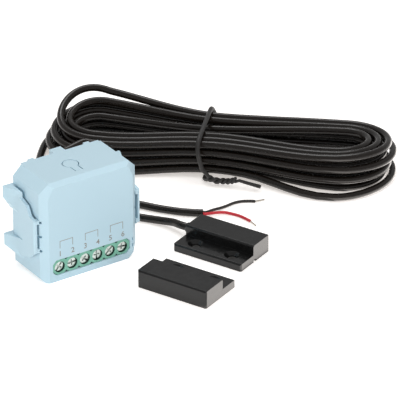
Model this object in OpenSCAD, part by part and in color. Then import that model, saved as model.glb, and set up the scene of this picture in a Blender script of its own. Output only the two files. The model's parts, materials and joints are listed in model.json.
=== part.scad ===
// Garage door controller kit: relay module, wired reed contact, loose magnet and tied cable hank
// Millimetres, +Z up, module front towards -Y, origin at the middle of the module's lower face

/* [Module housing] */
// Width of the module housing
module_w = 38.8; // [37:0.2:46]
// Height of the module housing
module_h = 37.6; // [36:0.2:46]
// Depth of the housing, front face to rear cover
module_d = 19; // [18.4:0.2:24]
// Wall thickness of the front shell
wall = 1.4; // [1:0.1:1.8]
// Chamfer of the two top corners, seen from the front
top_chamfer = 3.4; // [2:0.1:5]
// Chamfer of the lower left corner, seen from the front
low_left = 1.4; // [1:0.1:3]
// Chamfer of the lower right corner, seen from the front
low_right = 4.4; // [3:0.1:5]
// Chamfer of the upright front edges
edge_chamfer = 2.4; // [1.5:0.1:3]
// Bevel between top and front
top_bevel = 1.6; // [0.6:0.05:2]
// Thickness of the rear cover's plate
cover_t = 1.6; // [1.2:0.1:2.4]
// Depth of the cover's rim inside the shell
rim_depth = 2; // [1:0.1:3]
// Thickness of the cover's rim
rim_t = 1; // [0.7:0.1:1.6]
// Width of the raised pad on the rear cover
pad_w = 31; // [24:0.5:31.5]
// Height of the raised pad on the rear cover
pad_h = 30; // [20:0.5:34]
// Depth of the raised pad on the rear cover
pad_d = 0.9; // [0.4:0.1:1.6]
// Width of the middle tab at the pad's upper edge
tab_w = 4.5; // [3:0.1:6]
// Depth of the middle tab behind the pad
tab_d = 3.2; // [2:0.1:4]
// Height of the tabs
tab_h = 5; // [3:0.2:8]
// Width of the two small tabs
lug_w = 2.2; // [1.5:0.1:3]
// Depth of the two small tabs behind the pad
lug_d = 1.1; // [0.6:0.1:1.6]
// Distance of the two small tabs from the middle
lug_x = 11.2; // [8:0.1:12]

/* [Side arms] */
// Gap between the shell's side and an arm at its front end
arm_gap = 0.95; // [0.6:0.05:1.5]
// Gap between the shell's side and an arm at its rear end
arm_seat = 0.25; // [0.15:0.05:0.5]
// Thickness of an arm
arm_t = 1.15; // [0.8:0.05:1.8]
// Lower edge of an arm at its front end
arm_low = 11.9; // [9:0.1:13]
// Upper edge of an arm at its front end
arm_top = 24.2; // [22:0.1:26]
// How far the arm's front end stays behind the front face
arm_front = 2.2; // [1.8:0.1:3]
// Height of the lips that close the arm's window
arm_lip = 1.4; // [0.8:0.1:2]
// Reach of an ear beyond the arm
ear_reach = 2.8; // [1.5:0.1:4]
// Height of an ear at its tip
ear_tip = 4.4; // [3:0.1:5]
// Length of an ear's ramp along the arm
ear_ramp = 8; // [5:0.2:9]
// How far an ear's underside slants down to the arm
ear_drop = 3.1; // [2:0.1:3.6]
// Width of the groove over the lower ear
ear_groove = 0.5; // [0.3:0.1:0.8]
// Height of a slit beside the arm's window
slit_h = 0.9; // [0.4:0.1:1.1]
// Depth of a slit into the upright chamfer
slit_depth = 1.8; // [0.8:0.1:2]

/* [Button] */
// Radius of the button's round pad
button_r = 2.7; // [2.5:0.1:3.6]
// Distance of the pad's middle behind the front face
button_back = 10.2; // [9.6:0.1:11]
// Sideways place of the button
button_x = -1.7; // [-3:0.1:0]
// Width of the button's tongue
tongue_w = 2.6; // [2:0.1:3.6]
// Distance of the hinge line behind the front face
hinge_back = 4.4; // [3.4:0.1:5.4]
// Thickness of the button flap
flap_t = 1.2; // [0.8:0.1:1.4]
// Width of the slit around the flap
kerf = 0.3; // [0.25:0.05:0.5]
// Gap at the film hinge
hinge_gap = 0.1; // [0.06:0.02:0.2]
// Gap between the flap's post and the switch plunger
post_gap = 0.06; // [0.04:0.01:0.1]
// Height of the push switch's plunger
plunger_h = 0.8; // [0.5:0.1:1.2]

/* [Terminals] */
// Width kept free beside the terminal row, on each side
terminal_margin = 4.1; // [3.6:0.1:6]
// Distance between terminals
pitch = 5.08; // [4.8:0.02:5.2]
// Height of the screw axes above the lower face
screw_z = 5.05; // [4.9:0.05:5.4]
// Depth of the terminal block
block_d = 11; // [10.8:0.1:12]
// How far the block's face stays behind the front face
block_inset = 0.4; // [0.2:0.1:0.7]
// Radius of a screw head
head_r = 1.8; // [1.7:0.05:2.1]
// Thickness of a screw head
head_t = 1.6; // [1.2:0.1:1.8]
// Radius of a screw's thread
thread_r = 1.25; // [1.1:0.05:1.3]
// Radial clearance of a screw in the cage and the block
thread_clear = 0.05; // [0.02:0.01:0.1]
// Radial clearance of a head in its well
well_clear = 0.25; // [0.15:0.05:0.35]
// Wall of a clamp cage at its two ends
cage_end = 1.2; // [1:0.1:1.3]
// Side wall of a clamp cage
cage_side = 0.6; // [0.5:0.05:0.7]
// Height of a clamp cage
cage_h = 3.6; // [3.2:0.1:3.8]
// Travel of a clamp cage over the screw's turns
cage_travel = 1.8; // [1.4:0.1:1.85]
// Clear gap for the wire with the cage open
wire_gap = 2; // [1.9:0.05:2.1]
// Thickness of a current bar
bar_t = 0.8; // [0.6:0.1:0.9]
// Clearance of a cage in its cell
cell_clear = 0.15; // [0.1:0.01:0.2]

/* [Electronics] */
// Thickness of the circuit board
board_t = 1.2; // [1:0.1:1.6]
// Gap between the circuit board and the shell
board_gap = 0.6; // [0.3:0.1:1]
// Width of the relay
relay_w = 10; // [8:0.2:11]
// Height of the relay
relay_h = 18; // [14:0.5:20]
// Depth of the relay off the board
relay_d = 9.2; // [8:0.1:9.4]
// Radius of a smoothing capacitor
cap_r = 3.15; // [2.5:0.05:3.4]
// Length of a smoothing capacitor
cap_len = 8.6; // [6:0.1:9]
// Width of the transformer's core
core_w = 11; // [9:0.2:12]
// Height of the transformer's core
core_h = 10; // [8:0.2:11]
// Depth of the transformer's core
core_depth = 6.6; // [5:0.1:8]
// Radius of the fuse
fuse_r = 1.9; // [1.5:0.1:2.2]
// Length of the fuse
fuse_len = 7; // [5:0.1:8]
// Radius of the varistor's disc
varistor_r = 3.6; // [2.5:0.1:4]
// Thickness of the varistor's disc
varistor_t = 2.8; // [2:0.1:3.2]
// Clearance between neighbouring components
part_gap = 0.6; // [0.3:0.1:0.8]
// Width of the radio board
radio_w = 16; // [12:0.5:17]
// Height of the radio board
radio_h = 14; // [11:0.5:15]
// Thickness of the radio board
radio_t = 0.8; // [0.6:0.1:1]
// Room between the radio's shield and the rear cover
shield_gap = 1.6; // [1:0.1:1.8]
// Sheet thickness of the radio's shield
shield_t = 0.3; // [0.2:0.05:0.4]
// Width of a surface chip
chip_w = 5; // [3:0.2:6]
// Height of a surface chip
chip_h = 4; // [3:0.2:5]
// Thickness of a surface chip
chip_t = 1.4; // [0.8:0.1:1.6]

/* [Contact and magnet] */
// Length of the contact and of the magnet block
block_len = 28; // [26:0.2:32]
// Width of each block across ledge and body
block_w = 18.4; // [16.6:0.2:21]
// Height of each block's body
block_h = 6.6; // [6.2:0.1:8]
// Width of each block's screw ledge
ledge_w = 8; // [7.2:0.1:9]
// Height of each block's screw ledge
ledge_h = 2.9; // [2.2:0.1:3.6]
// Wall of each block's body
case_wall = 1.2; // [1:0.1:1.4]
// Thickness of each block's base plate
base_t = 1; // [0.8:0.1:1.2]
// Clearance of the base plate in the body
base_clear = 0.1; // [0.05:0.01:0.2]
// Distance between the two screw holes
hole_span = 15; // [12:0.5:18]
// Radius of a screw hole
hole_r = 1.6; // [1.3:0.05:1.8]
// Radius of a screw hole's countersink
sink_r = 2.8; // [2.2:0.05:2.9]
// Width of the bar magnet
magnet_w = 4; // [3:0.1:4.2]
// Length of the bar magnet
magnet_len = 20; // [15:0.5:22]
// Radius of the reed switch's glass
reed_r = 1.2; // [1:0.05:1.4]
// Length of the reed switch's glass
reed_len = 13; // [10:0.5:14]
// Yaw of the contact and the magnet block
block_yaw = -67; // [-72:0.5:-62]

/* [Cable] */
// Diameter of the cable's jacket
cable_d = 2.8; // [2.6:0.05:2.85]
// Diameter of a core's insulation
core_d = 1.1; // [0.9:0.05:1.2]
// Diameter of a core's bare tip
tip_d = 0.5; // [0.4:0.05:0.6]
// Half length of the hank's straight runs
run_half = 45; // [42:0.5:48]
// Half width of the hank's first, outermost loop
loop_start = 20.6; // [20:0.1:21]
// Sideways step from loop to loop
loop_step = 3.6; // [3.5:0.05:3.65]
// Height from layer to layer
layer_step = 3.3; // [3.25:0.05:3.5]
// How far each run is drawn in at the waist
waist_in = 5.4; // [4:0.1:5.6]
// Diameter of the tie's coated wire
tie_d = 1.7; // [1.2:0.1:1.9]
// Gap between the tie and the hank
tie_gap = 0.35; // [0.3:0.05:0.6]
// Radius of the tie's bends round the hank
tie_bend = 3; // [2:0.1:3.2]

/* [Hidden] */
poles = floor((module_w - 2 * terminal_margin) / pitch);
$fn = 48;
eps = 0.01;

blue = [0.74, 0.85, 0.91];
green = [0.44, 0.69, 0.58];
black = [0.2, 0.2, 0.2];
steel = [0.78, 0.78, 0.78];
brass = [0.8, 0.68, 0.4];

// Least chamfer of an inner corner, and the flats on the front top corners: turn, tip and place
corner_least = 0.3;
facet_turn = 32;
facet_tip = 17;
facet_out = 0.2;

// Planes of the module, front to rear
front_y = -module_d / 2;
rear_y = module_d / 2;
split_y = rear_y - cover_t;
half_w = module_w / 2;

// Terminal block planes, from its face inwards
head_inset = 0.8;
seat_t = 0.8;
cage_clear = 0.3;
block_clear = 0.1;
block_side = 0.6;
block_above = 3.5;
cell_wall = 0.8;
bar_room = 0.2;
block_y = front_y + block_inset;
head_y = block_y + head_inset;
seat_y = head_y + head_t;
cell_y = seat_y + seat_t;
cage_y = cell_y + cage_travel + cage_clear;
bar_y = cage_y + cage_end + cage_clear;
cage_end_y = bar_y + bar_t + wire_gap;
cage_back_t = 0.7;
block_end_y = block_y + block_d;
block_len_x = poles * pitch + 2 * block_side;
block_low = wall + block_clear;
block_top = screw_z + block_above;
cell_w = pitch - cell_wall;
cage_w = cell_w - 2 * cell_clear;
bar_w = cage_w - 2 * (cage_side + bar_room);
bar_pin_z = screw_z + cage_h / 2 + cage_clear;
pin_w = 1;
bar_clear = 0.1;
opening_below = 2.6;
opening_above = 3;
opening_in = 0.3;
opening_low = screw_z - opening_below;
opening_top = screw_z + opening_above;
opening_corner = 1.4;
opening_clear = 0.12;
rib_notch = 1.1;
rib_depth = 1.2;
wire_w = 3;
wire_clear = 0.1;

// Screw details: play under the head, room before the bar, slot and cross recess
head_play = 0.05;
thread_room = 0.15;
slot_w = 0.6;
slot_depth = 0.75;
cross_w = 0.5;
cross_depth = 0.6;
cross_reach = 0.62;

// Board planes
board_y = block_end_y;
board_back = board_y + board_t;
board_half = half_w - wall - board_gap;
board_low = wall + board_gap;
board_top = module_h - wall - board_gap;

// Button and switch
button_y = front_y + button_back;
hinge_y = front_y + hinge_back;
flap_low = module_h - flap_t;
switch_drop = 3.6;
switch_back = 1.6;
switch_top = module_h - switch_drop;
plunger_top = switch_top + plunger_h;
switch_h = 3;
switch_w = 6;
plunger_r = 1;
plunger_seat = 0.6;

// Contact and magnet: place of the corner at the block's left end
contact_at = [30.8, -13.6];
magnet_at = [6.55, -28.03];
body_w = block_w - ledge_w;
hole_in = ledge_w * 0.56;
lead_in = ledge_w + body_w * 0.4;
notch_w = 1.4;
notch_h = 0.9;
cable_z = block_h / 2;
gland_len = 2.2;

// Hank: rings along one unbroken tube, 24 to a turn, starting at the left tip
cable_r = cable_d / 2;
hank_lift = tie_d + tie_gap;
ring_turn = 24;
far_run = 4;
near_run = 16;
run_rings = 4;
layer_ends = [0, 76, 80, 148, 152, 220, 224, 284];
loop_in = loop_start - loop_step * (layer_ends[1] - layer_ends[0]) / ring_turn;
loop_out = loop_in + loop_step * (layer_ends[3] - layer_ends[2]) / ring_turn;
loop_end = loop_in + loop_step * (layer_ends[7] - layer_ends[6]) / ring_turn;
hank_top_z = cable_r + 3 * layer_step;
waist_half = loop_start - waist_in + cable_r;
tie_s = -3;
tie_r = tie_d / 2;
tie_half = waist_half + tie_gap + tie_r;
tie_top = hank_top_z + hank_lift + cable_r + tie_gap + tie_r;
tie_pass = tie_d + 0.5;

// Lay of the hank: share by which the upper layers rise at each end, how far each layer leans at the left,
// where the first loop lies loose on the near side, and how the top loop stands off at the left
fan_left = 0.6;
fan_right = 0.45;
lean_left = 1.6;
loose_up = 2.6;
loose_out = 1.4;
loose_rings = [262, 270];
slack_at = 40;
slack_half = 30;
slack_out = 4.6;
slack_rings = [12, 20];

// Cable routes: points chosen along the photographed lay, on the surface that the module stands on
hank_at = [82, 33];
hank_yaw = -44;
gland_at = contact_at + spin([-gland_len, lead_in], block_yaw);
gland_out = spin([-1, 0], block_yaw);
tip_left = hank_world([-run_half - loop_start, 0]);
left_out = spin([0, -1], hank_yaw);
contact_route = concat(
    [flat(tip_left + left_out * cable_d, cable_r)],
    [for (p = [[28.6, 71.6], [24.2, 65.6], [20.6, 58.8], [18.2, 51.4], [17.4, 43.6], [18.4, 35.8],
               [21.2, 28.4], [25.4, 21.6], [30, 15.6], [34.4, 9.8]]) flat(p, cable_r)],
    [[37.6, 4.4, 1.9], [39.6, -0.4, 2.7]],
    [flat(gland_at + gland_out * cable_d, cable_z), flat(gland_at, cable_z)]);
jacket_end = [53.6, 1.6];
hank_end = hank_world([-run_half, -loop_end]);
end_out = spin([-1, 0], hank_yaw);
free_route = concat(
    [flat(hank_end + end_out * cable_d, hank_ring(layer_ends[7])[2])],
    [[31.2, 55.2, 10.6], [26.8, 55.2, 9.4], [23.2, 53, 7.9], [21, 49.2, 6.3], [20.9, 44.8, 4.8],
     [22.6, 41, 3.6], [25.4, 37, 2.5], [28.4, 32.8, 1.7]],
    [for (p = [[31.6, 28.4], [35.2, 23.6], [38.7, 19], [42.6, 12.9], [47.4, 7], [51.2, 3.4]])
        flat(p, cable_r)],
    [flat(jacket_end, cable_r)]);
jacket_out = [0.8, -0.6];
core_side = [0.6, 0.8];
core_r = core_d / 2;
black_start = jacket_end + core_side * 0.62;
red_start = jacket_end - core_side * 0.62;
black_route = [flat(black_start, cable_r), flat(black_start + jacket_out * 1.2, cable_r), [57.8, 2, 1.1],
    [61, 2.2, 0.8], [64.2, 2.6, core_r], [67.6, 3, core_r], [70.6, 2.6, core_r], [73.2, 1.2, core_r],
    [75, -0.2, core_r]];
red_route = [flat(red_start, cable_r), flat(red_start + jacket_out * 1.2, cable_r), [57.8, -0.3, 1.1],
    [60.8, -1.4, 0.8], [62.8, -3.6, core_r], [64, -6.2, core_r], [64.6, -8.8, core_r], [65, -11.4, core_r]];
black_tip = [[75, -0.2, core_r], [76.8, -0.6, core_r], [78.6, -0.7, tip_d / 2 + 0.1]];
red_tip = [[65, -11.4, core_r], [65.1, -13.2, core_r], [64.9, -15, tip_d / 2 + 0.1]];

function spin(p, a) = [p[0] * cos(a) - p[1] * sin(a), p[0] * sin(a) + p[1] * cos(a)];
function flat(p, z) = [p[0], p[1], z];
function hank_world(p) = hank_at + spin(p, hank_yaw);
function between(a, b, t) = a + (b - a) * min(1, max(0, t));

// Half width of the loop at ring k, and its height
function loop_half(k) =
    k <= layer_ends[1] ? between(loop_start, loop_in, k / layer_ends[1]) :
    k <= layer_ends[2] ? loop_in :
    k <= layer_ends[3] ? between(loop_in, loop_out, (k - layer_ends[2]) / (layer_ends[3] - layer_ends[2])) :
    k <= layer_ends[4] ? loop_out :
    k <= layer_ends[5] ? between(loop_out, loop_in, (k - layer_ends[4]) / (layer_ends[5] - layer_ends[4])) :
    k <= layer_ends[6] ? loop_in :
    between(loop_in, loop_end, (k - layer_ends[6]) / (layer_ends[7] - layer_ends[6]));
function ease(t) = t * t * (3 - 2 * t);
function climbed(k) = ease(between(0, 1, (k - layer_ends[1]) / run_rings))
    + ease(between(0, 1, (k - layer_ends[3]) / run_rings))
    + ease(between(0, 1, (k - layer_ends[5]) / run_rings));

// Outline of one loop: quarter end, far run, half end, near run, quarter end
function loop_point(j, b) =
    j < far_run ? [-run_half - b * cos(j * 22.5), b * sin(j * 22.5)] :
    j < far_run + run_rings ? [run_half * ((j - far_run) / 2 - 1), b] :
    j < near_run ? [run_half + b * sin((j - 8) * 22.5), b * cos((j - 8) * 22.5)] :
    j < near_run + run_rings ? [run_half * (1 - (j - near_run) / 2), -b] :
    [-run_half - b * sin((j - 20) * 22.5), -b * cos((j - 20) * 22.5)];
function waist(s) = abs(s) >= run_half ? 0 : pow(cos(90 * s / run_half), 2);
// Extra rise of the upper layers: far side at the left end, near side at the right end
function twist(p) =
    let (far = 0.5 + p[1] / (2 * loop_start))
    let (end = ease(between(0, 1, abs(p[0]) / (run_half + loop_start))))
    end * (p[0] < 0 ? fan_left * pow(far, 3) : fan_right * (1 - far));
function slack(k, s) =
    k < slack_rings[0] || k > slack_rings[1] || abs(s - slack_at) > slack_half ? 0 :
    slack_out * pow(cos(90 * (s - slack_at) / slack_half), 2);
function lean(k, s) =
    s > 0 ? 0 : lean_left * climbed(k) * ease(between(0, 1, -s / (run_half + loop_start)));
function loose(k) =
    let (share = (k - loose_rings[0]) / (loose_rings[1] - loose_rings[0]))
    share < 0 || share > 1 ? 0 : pow(sin(180 * share), 2);
function hank_ring(k) =
    let (p = loop_point(k % ring_turn, loop_half(k)))
    let (w = waist(p[0]))
    let (drawn = p[1] - sign(p[1]) * waist_in * w - slack(k, p[0]))
    let (q = hank_world([p[0], drawn + lean(k, p[0]) + loose_out * loose(k)]))
    let (up = layer_step * climbed(k) * (1 + twist(p)) + loose_up * loose(k))
    [q[0], q[1], cable_r + hank_lift * w + up];
hank_route = concat(
    [contact_route[0]],
    [for (k = [0:layer_ends[7]]) hank_ring(k)],
    [free_route[0]]);
hank_gap = min([for (i = [0:len(hank_route) - 1]) for (j = [i + 5:1:len(hank_route) - 1])
    norm(hank_route[i] - hank_route[j])]) - cable_d;

// Tube of triangles along a route, with flat ends
function direction(route, i) =
    let (a = route[max(0, i - 1)], b = route[min(len(route) - 1, i + 1)]) (b - a) / norm(b - a);
function ring_at(route, i, r, sides) =
    let (d = direction(route, i))
    let (side = cross(d, [0, 0, 1]) / norm(cross(d, [0, 0, 1])))
    let (rise = cross(side, d))
    [for (n = [0:sides - 1]) let (a = 360 * (n + 0.5) / sides)
        route[i] + r * (side * cos(a) + rise * sin(a))];
module tube(route, r, sides) {
    count = len(route);
    points = [for (i = [0:count - 1]) each ring_at(route, i, r, sides)];
    skin = [for (i = [0:count - 2]) for (n = [0:sides - 1])
        let (a = i * sides + n, b = i * sides + (n + 1) % sides)
        each [[a, b, a + sides], [b, b + sides, a + sides]]];
    last = (count - 1) * sides;
    caps = [for (n = [1:sides - 2]) each [[0, n + 1, n], [last, last + n, last + n + 1]]];
    polyhedron(points, concat(skin, caps), convexity = 10);
}

// Outline of the housing seen from the front, drawn in from its walls by inset
function drawn_in(chamfer, inset) = max(corner_least, chamfer - inset * (2 - sqrt(2)));
module front_outline(inset) {
    w = half_w - inset;
    left = drawn_in(low_left, inset);
    right = drawn_in(low_right, inset);
    top = drawn_in(top_chamfer, inset);
    top_z = module_h - inset;
    polygon([[-w + left, inset], [w - right, inset], [w, inset + right], [w, top_z - top], [w - top, top_z],
        [-w + top, top_z], [-w, top_z - top], [-w, inset + left]]);
}
module along_y(from, to) {
    translate([0, to, 0]) rotate([90, 0, 0]) linear_extrude(to - from) children();
}
module housing_form(inset, from, to) {
    edge = drawn_in(edge_chamfer, inset);
    bevel = drawn_in(top_bevel, inset);
    w = half_w - inset;
    start = front_y + inset;
    difference() {
        intersection() {
            along_y(from, to) front_outline(inset);
            translate([0, 0, -1]) linear_extrude(module_h + 2) polygon([[-w + edge, start], [w - edge, start],
                [w, start + edge], [w, rear_y + 1], [-w, rear_y + 1], [-w, start + edge]]);
            rotate([90, 0, 90]) translate([0, 0, -half_w - 1]) linear_extrude(module_w + 2)
                polygon([[start, -1], [rear_y + 1, -1], [rear_y + 1, module_h - inset],
                    [start + bevel, module_h - inset], [start, module_h - inset - bevel]]);
        }
        for (side = [-1, 1]) scale_x(side) corner_facet(inset);
    }
}
// Flat that cuts a front top corner, where the upright chamfer, the top chamfer and the bevel meet
module corner_facet(inset) {
    translate([half_w, front_y + edge_chamfer, module_h - top_chamfer]) rotate([-facet_tip, 0, facet_turn])
        translate([-half_w / 2, inset - facet_out - half_w, -half_w / 2]) cube(half_w);
}
module terminal_opening(grow) {
    half = block_len_x / 2 - opening_in + grow;
    low = opening_low - grow;
    top = opening_top + grow;
    c = opening_corner;
    polygon([[-half + c, low], [half - c, low], [half, low + c], [half, top - c], [half - c, top],
        [-half + c, top], [-half, top - c], [-half, low + c]]);
}
module keyhole(grow) {
    translate([button_x, button_y]) circle(r = button_r + grow);
    translate([button_x - tongue_w / 2 - grow, hinge_y]) square([tongue_w + 2 * grow, button_y - hinge_y]);
}
function pole_x(i) = (i - (poles + 1) / 2) * pitch;
wire_y = bar_y + bar_t - 2 * wire_clear;

module front_shell() {
    color(blue) difference() {
        housing_form(0, front_y, split_y);
        housing_form(wall, front_y + wall, split_y + 1);
        along_y(front_y - 1, front_y + wall + 1) terminal_opening(opening_clear);
        translate([0, 0, module_h - wall - 1]) linear_extrude(wall + 2) keyhole(kerf);
        for (i = [1:poles]) translate([pole_x(i) - wire_w / 2 - wire_clear, wire_y, -1])
            cube([wire_w + 2 * wire_clear, wire_gap + 4 * wire_clear, wall + 2]);
        for (side = [-1, 1]) for (n = [0:2])
            snap_slit(side, between(arm_low + slit_h / 2, arm_top - slit_h, n / 2));
        for (z = nick_z) translate([half_w - edge_chamfer - nick_w, front_y - nick_w, z - nick_h / 2])
            cube([nick_w, 2 * nick_w, nick_h]);
    }
}
nick_w = 0.6;
nick_h = 1.3;
nick_z = [4.95, 7.25];
module snap_slit(side, z) {
    translate([side * half_w, front_y + edge_chamfer, z - slit_h / 2]) rotate([0, 0, side * 45])
        translate([-slit_depth / 2, -slit_depth, 0]) cube([slit_depth, slit_depth * 1.6, slit_h]);
}

module rear_cover() {
    color(blue) {
        along_y(split_y, rear_y) front_outline(0);
        difference() {
            along_y(split_y - rim_depth, split_y) front_outline(wall + base_clear);
            along_y(split_y - rim_depth - 1, split_y) front_outline(wall + base_clear + rim_t);
        }
        along_y(rear_y - eps, rear_y + pad_d) translate([-pad_w / 2, module_h - pad_h])
            square([pad_w, pad_h]);
        rear_tab(0, tab_w, tab_d);
        for (x = [-lug_x, lug_x]) rear_tab(x, lug_w, lug_d);
        for (side = [-1, 1]) scale_x(side) side_arm();
    }
}
module scale_x(side) {
    if (side < 0) mirror([1, 0, 0]) children();
    else children();
}
module rear_tab(x, w, depth) {
    along_y(rear_y + pad_d - eps, rear_y + pad_d + depth) translate([x - w / 2, module_h - tab_h])
        square([w, tab_h]);
}
// The arms hang on the cover by their ears only, and spread towards the front
fore = front_y + arm_front;
fore_x = half_w + arm_gap;
rear_x = half_w + arm_seat;
ear_x = rear_x + arm_t;
ear_above = 7.4;
lower_ear_above = 1.4;
ear_top = arm_top + ear_above;
lower_ear_top = arm_low + lower_ear_above;
ear_root = 1;
arm_bevel = 0.6;
lip_len = 2;
lip_clear = 0.05;
// Side profile of an arm: steps back from its front edge, then down from its lower or up from its upper edge
arm_low_steps = [[0, 0], [4.1, 3.3], [8.3, 4.6]];
arm_low_rear = 5.4;
arm_top_steps = [[5.2, 3.8], [3.3, 0.8], [0, 0]];
arm_top_rear = 6.6;
module side_arm() {
    difference() {
        intersection() {
            translate([half_w, 0, 0]) rotate([90, 0, 90]) linear_extrude(2 * arm_t + arm_gap)
                polygon(concat(
                    [for (p = arm_low_steps) [fore + p[0], arm_low - p[1]]],
                    [[split_y, arm_low - arm_low_rear], [split_y, arm_top + arm_top_rear]],
                    [for (p = arm_top_steps) [fore + p[0], arm_top + p[1]]]));
            linear_extrude(module_h) polygon([[rear_x, split_y], [ear_x, split_y],
                [fore_x + arm_t, fore + arm_bevel], [fore_x + arm_t - arm_bevel, fore], [fore_x, fore]]);
        }
        translate([ear_x, rear_y - ear_ramp, lower_ear_top]) cube([arm_t, ear_ramp + 1, ear_groove]);
    }
    for (z = [arm_low, arm_top - arm_lip])
        translate([half_w + lip_clear, fore, z]) cube([arm_gap - lip_clear + arm_t / 2, lip_len, arm_lip]);
    ear(ear_top, ear_drop * 1.5);
    ear(lower_ear_top, ear_drop);
}
// A wedge that ramps out of the arm towards the rear, with a slanted underside, and reaches into the cover
module ear(top, drop) {
    tip = ear_x + ear_reach;
    root = half_w - ear_root;
    low = top - ear_tip;
    start = rear_y - ear_ramp;
    start_x = between(rear_x, fore_x, (split_y - start) / (split_y - fore)) + arm_t / 2;
    intersection() {
        translate([0, 0, low - drop]) linear_extrude(ear_tip + drop) polygon([[root, split_y],
            [rear_x + arm_t / 2, split_y], [start_x, start], [tip, rear_y - cover_t / 2], [tip, rear_y],
            [root, rear_y]]);
        along_y(start - 1, rear_y + 1) polygon([[root - 1, low - drop], [ear_x, low - drop], [tip, low],
            [tip + 1, low], [tip + 1, top], [root - 1, top]]);
    }
}

module button_flap() {
    color(blue) {
        translate([0, 0, flap_low]) linear_extrude(flap_t) difference() {
            keyhole(0);
            translate([button_x - tongue_w, hinge_y - 1]) square([2 * tongue_w, 1 + hinge_gap]);
        }
        translate([button_x, button_y, plunger_top + post_gap])
            cylinder(r = plunger_r, h = flap_low - plunger_top - post_gap + eps);
    }
}

module terminal_block() {
    color(green) difference() {
        union() {
            along_y(front_y + block_low, block_end_y) intersection() {
                translate([-block_len_x / 2, 0]) square([block_len_x, block_top]);
                front_outline(block_low);
            }
            along_y(block_y, front_y + block_low + eps) terminal_opening(0);
        }
        for (i = [1:poles]) translate([pole_x(i), 0, 0]) {
            translate([0, seat_y, screw_z]) rotate([90, 0, 0])
                cylinder(r = head_r + well_clear, h = seat_y - block_y + 1);
            translate([0, cell_y + 1, screw_z]) rotate([90, 0, 0])
                cylinder(r = thread_r + thread_clear, h = seat_t + 2);
            translate([-cell_w / 2, cell_y, screw_z - cage_h / 2 - block_clear])
                cube([cell_w, cage_end_y + cage_back_t + block_clear - cell_y, cage_h + 2 * block_clear]);
            translate([-wire_w / 2, wire_y + wire_clear, block_low - 1])
                cube([wire_w, wire_gap + 2 * wire_clear, screw_z - block_low]);
            translate([-bar_w / 2 - bar_clear, bar_y - bar_clear, screw_z])
                cube([bar_w + 2 * bar_clear, bar_t + 2 * bar_clear, bar_pin_z + bar_t + bar_clear - screw_z]);
            translate([-pin_w / 2 - bar_clear, bar_y, bar_pin_z - bar_clear])
                cube([pin_w + 2 * bar_clear, block_end_y - bar_y + 1, bar_t + 2 * bar_clear]);
        }
        for (i = [1:poles - 1]) for (z = [opening_low, opening_top])
            translate([pole_x(i) + pitch / 2, block_y, z]) rotate([90, 45, 0])
                cube([rib_notch, rib_notch, 2 * rib_depth], center = true);
    }
}
module terminal_bars() {
    color(brass) for (i = [1:poles]) translate([pole_x(i), 0, 0]) {
        translate([-bar_w / 2, bar_y, screw_z - cage_h / 2])
            cube([bar_w, bar_t, bar_pin_z + bar_t - screw_z + cage_h / 2]);
        translate([-pin_w / 2, bar_y, bar_pin_z]) cube([pin_w, board_back + bar_t - bar_y, bar_t]);
    }
}
module terminal_screw(i) {
    color(steel) translate([pole_x(i), 0, screw_z]) difference() {
        union() {
            translate([0, seat_y - head_play, 0]) rotate([90, 0, 0]) cylinder(r = head_r, h = head_t);
            translate([0, bar_y - thread_room, 0]) rotate([90, 0, 0])
                cylinder(r = thread_r, h = bar_y - thread_room - seat_y + 2 * head_play);
        }
        rotate([0, 82 + 47 * i, 0]) {
            translate([-head_r - 1, head_y - 1, -slot_w / 2]) cube([2 * head_r + 2, 1 + slot_depth, slot_w]);
            translate([-cross_w / 2, head_y - 1, -head_r * cross_reach])
                cube([cross_w, 1 + cross_depth, 2 * head_r * cross_reach]);
        }
    }
}
module clamp_cage(i) {
    color(steel) translate([pole_x(i), 0, screw_z - cage_h / 2]) difference() {
        translate([-cage_w / 2, cage_y, 0]) cube([cage_w, cage_end_y + cage_back_t - cage_y, cage_h]);
        translate([-cage_w / 2 + cage_side, cage_y + cage_end, -1])
            cube([cage_w - 2 * cage_side, cage_end_y - cage_y - cage_end, cage_h + 2]);
        translate([0, cage_y + cage_end + 1, cage_h / 2]) rotate([90, 0, 0])
            cylinder(r = thread_r + thread_clear, h = cage_end + 2);
    }
}

// Electronics stand on the board, from the board's own edges
relay_x = board_half - relay_w - part_gap;
relay_z = block_top + 2 * part_gap;
coil_x = -board_half + part_gap;
cap_z = relay_z + core_h + cap_r + part_gap;
varistor_z = relay_z + varistor_r;
module main_board() {
    color([0.12, 0.36, 0.22]) difference() {
        along_y(board_y, board_back) front_outline(wall + board_gap);
        for (i = [1:poles]) translate([pole_x(i) - pin_w / 2 - 0.05, board_y - 1, bar_pin_z - 0.05])
            cube([pin_w + 0.1, board_t + 2, bar_t + 0.1]);
    }
}
module relay() {
    rib = 0.8;
    color([0.16, 0.17, 0.19]) translate([relay_x, board_y - relay_d, relay_z]) difference() {
        cube([relay_w, relay_d, relay_h]);
        translate([rib, -rib, rib]) cube([relay_w - 2 * rib, rib + 0.2, relay_h - 2 * rib]);
    }
}
module supply_transformer() {
    leg = core_w / 5.5;
    yoke = core_h / 4;
    translate([coil_x, board_y - core_depth, relay_z]) {
        color([0.25, 0.25, 0.26]) difference() {
            cube([core_w, core_depth, core_h]);
            for (x = [leg, core_w - 2 * leg])
                translate([x, -1, yoke]) cube([leg, core_depth + 2, core_h - 2 * yoke]);
        }
        color([0.86, 0.7, 0.3]) translate([core_w / 2, core_depth / 2, yoke])
            cylinder(r = core_depth * 0.48, h = core_h - 2 * yoke);
    }
}
module smoothing_capacitors() {
    crimp = 1.2;
    color([0.15, 0.17, 0.25]) for (n = [0, 1])
        translate([coil_x + cap_r + n * (2 * cap_r + part_gap), board_y, cap_z]) rotate([90, 0, 0]) {
            cylinder(r = cap_r, h = cap_len - crimp);
            translate([0, 0, cap_len - crimp]) cylinder(r1 = cap_r, r2 = cap_r - crimp / 3, h = crimp);
        }
}
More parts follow.
